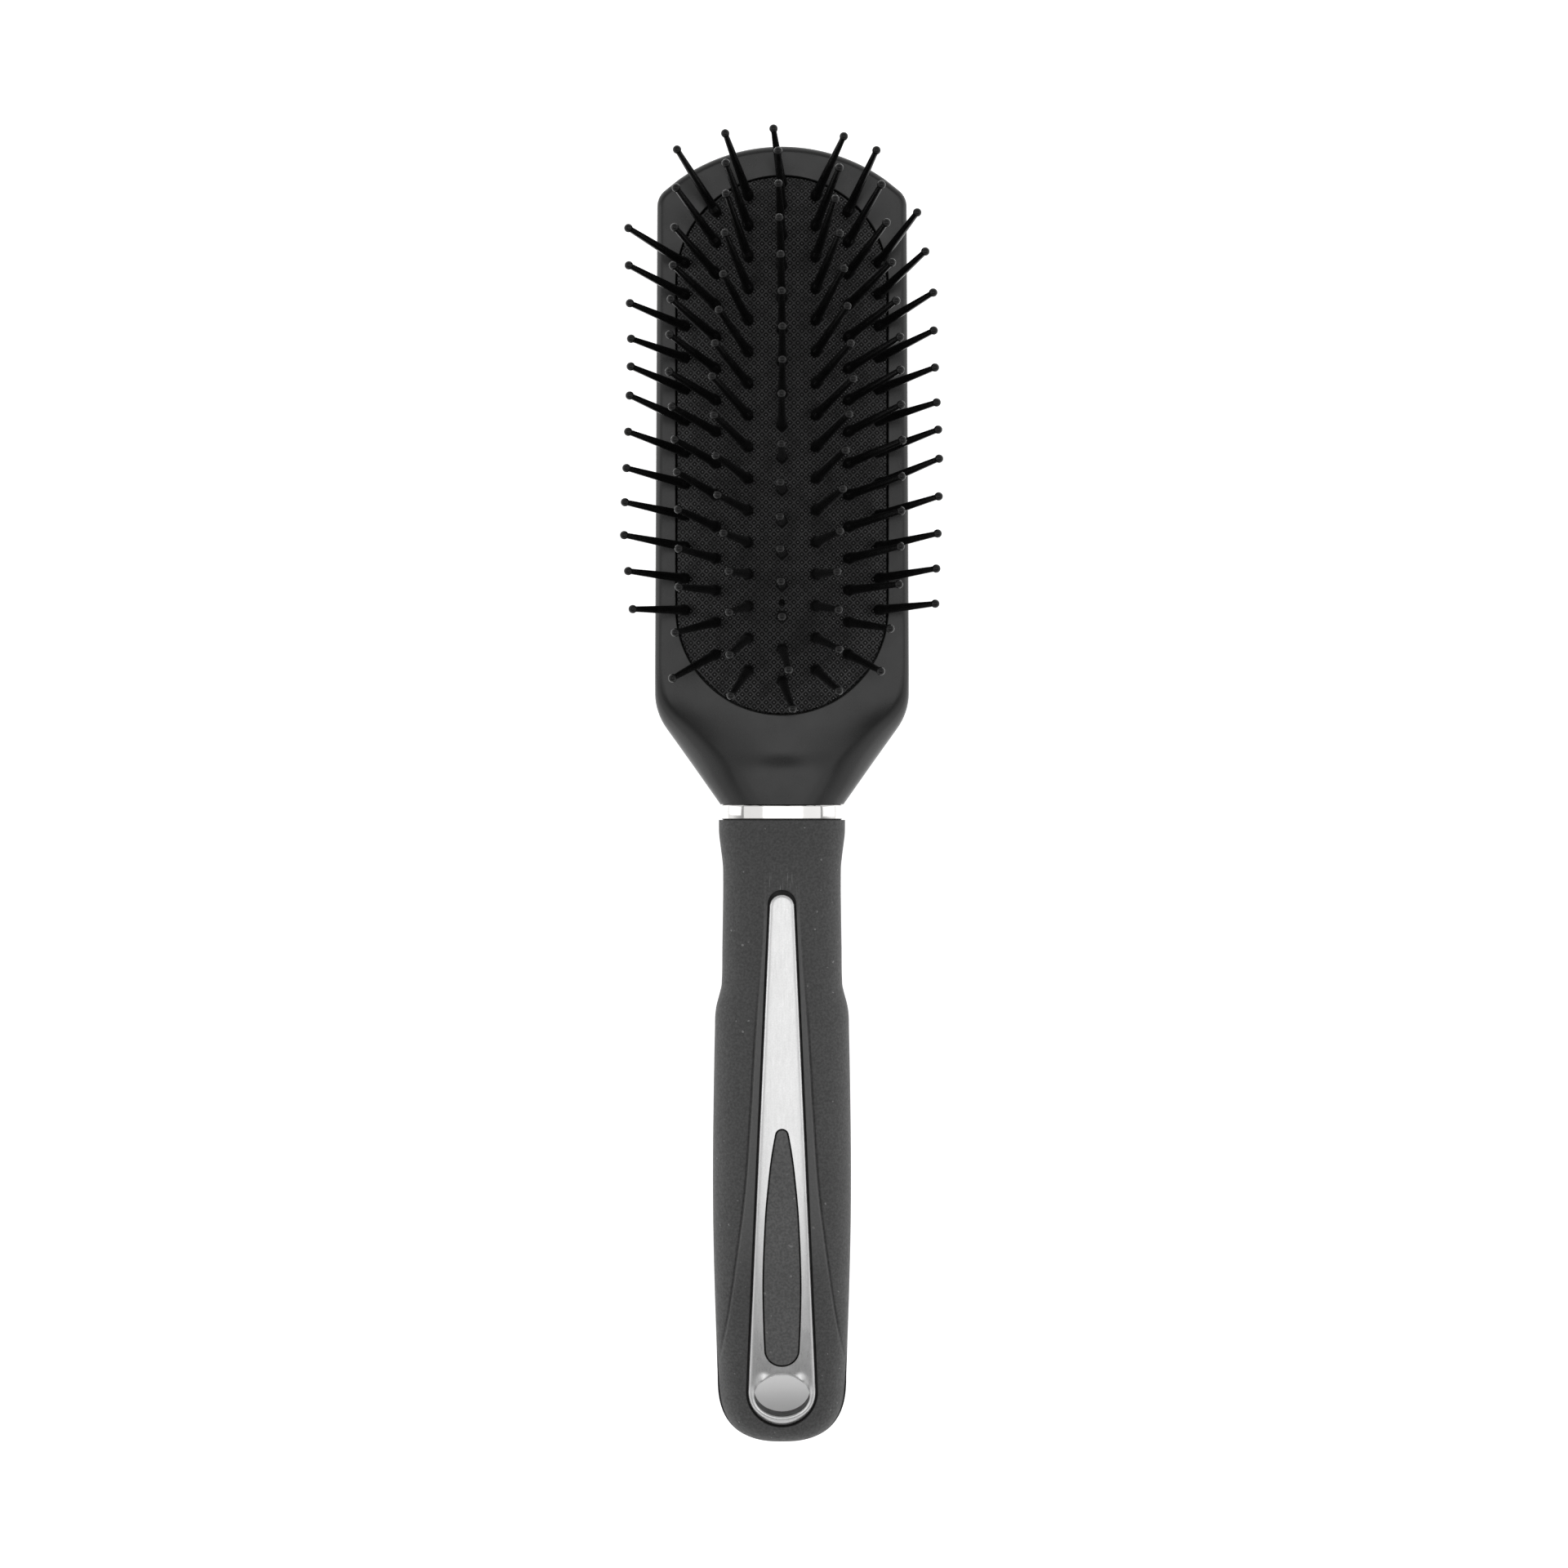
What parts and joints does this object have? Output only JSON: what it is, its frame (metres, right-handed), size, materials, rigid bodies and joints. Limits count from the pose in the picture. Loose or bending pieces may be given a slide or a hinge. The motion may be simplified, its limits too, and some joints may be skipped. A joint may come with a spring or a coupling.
{
  "type": "paddle brush",
  "caption": "Rectangular paddle hairbrush: domed air cushion with ball-tipped pins, chrome neck ring, soft grip with a silver inlay and an oval hang hole.",
  "frame": {"origin": "under the middle of the overall length, on the plane that the flat back rests on", "axes": "+X across the brush, +Y from the handle towards the far end of the head, +Z out of the pin side"},
  "size_m": [0.0586, 0.2415, 0.0375],
  "materials": {
    "head_plastic": "satin dark grey moulded plastic",
    "cushion_rubber": "matte black rubber with a fine diamond texture",
    "pin_nylon": "glossy black nylon",
    "ring_chrome": "bright chrome",
    "core_plastic": "black structural plastic",
    "grip_soft_touch": "fine-grained soft-touch dark grey",
    "inlay_silver": "satin silver paint",
    "insert_plastic": "fine-grained dark grey plastic"
  },
  "bodies": {
    "paddle": {"paddle_head": "head_plastic", "neck_ring": "ring_chrome", "handle_core": "core_plastic", "grip_sleeve": "grip_soft_touch", "silver_inlay": "inlay_silver", "inlay_insert": "insert_plastic"},
    "cushion": {"air_cushion": "cushion_rubber"},
    "pins_centre_near": {"pins_centre_near": "pin_nylon"},
    "pins_centre_mid": {"pins_centre_mid": "pin_nylon"},
    "pins_centre_far": {"pins_centre_far": "pin_nylon"},
    "pins_left_inner_near": {"pins_left_inner_near": "pin_nylon"},
    "pins_left_inner_mid": {"pins_left_inner_mid": "pin_nylon"},
    "pins_left_inner_far": {"pins_left_inner_far": "pin_nylon"},
    "pins_right_inner_near": {"pins_right_inner_near": "pin_nylon"},
    "pins_right_inner_mid": {"pins_right_inner_mid": "pin_nylon"},
    "pins_right_inner_far": {"pins_right_inner_far": "pin_nylon"},
    "pins_left_middle_near": {"pins_left_middle_near": "pin_nylon"},
    "pins_left_middle_mid": {"pins_left_middle_mid": "pin_nylon"},
    "pins_left_middle_far": {"pins_left_middle_far": "pin_nylon"},
    "pins_right_middle_near": {"pins_right_middle_near": "pin_nylon"},
    "pins_right_middle_mid": {"pins_right_middle_mid": "pin_nylon"},
    "pins_right_middle_far": {"pins_right_middle_far": "pin_nylon"},
    "pins_left_outer_near": {"pins_left_outer_near": "pin_nylon"},
    "pins_left_outer_mid": {"pins_left_outer_mid": "pin_nylon"},
    "pins_left_outer_far": {"pins_left_outer_far": "pin_nylon"},
    "pins_right_outer_near": {"pins_right_outer_near": "pin_nylon"},
    "pins_right_outer_mid": {"pins_right_outer_mid": "pin_nylon"},
    "pins_right_outer_far": {"pins_right_outer_far": "pin_nylon"}
  },
  "joints": [
    {"name": "cushion_press", "type": "slide", "parent": "paddle", "child": "cushion", "axis": [0, 0, -1], "range_m": [0, 0.0012], "stiffness_N_per_m": 4000, "deforming": ["air_cushion"]},
    {"name": "rock_centre_near", "type": "hinge", "parent": "cushion", "child": "pins_centre_near", "pos_m": [0, 0.03578, 0.01791], "axis": [0, 1, 0], "range_deg": [-8, 8], "stiffness_Nm_per_rad": 0.12},
    {"name": "rock_centre_mid", "type": "hinge", "parent": "cushion", "child": "pins_centre_mid", "pos_m": [0, 0.06773, 0.0185], "axis": [0, 1, 0], "range_deg": [-8, 8], "stiffness_Nm_per_rad": 0.1},
    {"name": "rock_centre_far", "type": "hinge", "parent": "cushion", "child": "pins_centre_far", "pos_m": [0, 0.09945, 0.01707], "axis": [0, 1, 0], "range_deg": [-8, 8], "stiffness_Nm_per_rad": 0.12},
    {"name": "rock_left_inner_near", "type": "hinge", "parent": "cushion", "child": "pins_left_inner_near", "pos_m": [-0.0061, 0.03778, 0.01755], "axis": [0, 1, 0], "range_deg": [-8, 8], "stiffness_Nm_per_rad": 0.12},
    {"name": "rock_left_inner_mid", "type": "hinge", "parent": "cushion", "child": "pins_left_inner_mid", "pos_m": [-0.0061, 0.06973, 0.01795], "axis": [0, 1, 0], "range_deg": [-8, 8], "stiffness_Nm_per_rad": 0.1},
    {"name": "rock_left_inner_far", "type": "hinge", "parent": "cushion", "child": "pins_left_inner_far", "pos_m": [-0.0061, 0.09878, 0.01689], "axis": [0, 1, 0], "range_deg": [-8, 8], "stiffness_Nm_per_rad": 0.1},
    {"name": "rock_right_inner_near", "type": "hinge", "parent": "cushion", "child": "pins_right_inner_near", "pos_m": [0.0061, 0.03778, 0.01755], "axis": [0, 1, 0], "range_deg": [-8, 8], "stiffness_Nm_per_rad": 0.12},
    {"name": "rock_right_inner_mid", "type": "hinge", "parent": "cushion", "child": "pins_right_inner_mid", "pos_m": [0.0061, 0.06973, 0.01795], "axis": [0, 1, 0], "range_deg": [-8, 8], "stiffness_Nm_per_rad": 0.1},
    {"name": "rock_right_inner_far", "type": "hinge", "parent": "cushion", "child": "pins_right_inner_far", "pos_m": [0.0061, 0.09878, 0.01689], "axis": [0, 1, 0], "range_deg": [-8, 8], "stiffness_Nm_per_rad": 0.1},
    {"name": "rock_left_middle_near", "type": "hinge", "parent": "cushion", "child": "pins_left_middle_near", "pos_m": [-0.012, 0.03778, 0.01608], "axis": [0, 1, 0], "range_deg": [-8, 8], "stiffness_Nm_per_rad": 0.1},
    {"name": "rock_left_middle_mid", "type": "hinge", "parent": "cushion", "child": "pins_left_middle_mid", "pos_m": [-0.012, 0.06683, 0.01633], "axis": [0, 1, 0], "range_deg": [-8, 8], "stiffness_Nm_per_rad": 0.1},
    {"name": "rock_left_middle_far", "type": "hinge", "parent": "cushion", "child": "pins_left_middle_far", "pos_m": [-0.012, 0.09588, 0.01568], "axis": [0, 1, 0], "range_deg": [-8, 8], "stiffness_Nm_per_rad": 0.1},
    {"name": "rock_right_middle_near", "type": "hinge", "parent": "cushion", "child": "pins_right_middle_near", "pos_m": [0.012, 0.03778, 0.01608], "axis": [0, 1, 0], "range_deg": [-8, 8], "stiffness_Nm_per_rad": 0.1},
    {"name": "rock_right_middle_mid", "type": "hinge", "parent": "cushion", "child": "pins_right_middle_mid", "pos_m": [0.012, 0.06683, 0.01633], "axis": [0, 1, 0], "range_deg": [-8, 8], "stiffness_Nm_per_rad": 0.1},
    {"name": "rock_right_middle_far", "type": "hinge", "parent": "cushion", "child": "pins_right_middle_far", "pos_m": [0.012, 0.09588, 0.01568], "axis": [0, 1, 0], "range_deg": [-8, 8], "stiffness_Nm_per_rad": 0.1},
    {"name": "rock_left_outer_near", "type": "hinge", "parent": "cushion", "child": "pins_left_outer_near", "pos_m": [-0.01765, 0.04298, 0.01359], "axis": [0, 1, 0], "range_deg": [-6, 6], "stiffness_Nm_per_rad": 0.08},
    {"name": "rock_left_outer_mid", "type": "hinge", "parent": "cushion", "child": "pins_left_outer_mid", "pos_m": [-0.01765, 0.06913, 0.01359], "axis": [0, 1, 0], "range_deg": [-6, 6], "stiffness_Nm_per_rad": 0.1},
    {"name": "rock_left_outer_far", "type": "hinge", "parent": "cushion", "child": "pins_left_outer_far", "pos_m": [-0.01765, 0.09237, 0.01354], "axis": [0, 1, 0], "range_deg": [-6, 6], "stiffness_Nm_per_rad": 0.06},
    {"name": "rock_right_outer_near", "type": "hinge", "parent": "cushion", "child": "pins_right_outer_near", "pos_m": [0.01765, 0.04298, 0.01359], "axis": [0, 1, 0], "range_deg": [-6, 6], "stiffness_Nm_per_rad": 0.08},
    {"name": "rock_right_outer_mid", "type": "hinge", "parent": "cushion", "child": "pins_right_outer_mid", "pos_m": [0.01765, 0.06913, 0.01359], "axis": [0, 1, 0], "range_deg": [-6, 6], "stiffness_Nm_per_rad": 0.1},
    {"name": "rock_right_outer_far", "type": "hinge", "parent": "cushion", "child": "pins_right_outer_far", "pos_m": [0.01765, 0.09237, 0.01354], "axis": [0, 1, 0], "range_deg": [-6, 6], "stiffness_Nm_per_rad": 0.06}
  ]
}
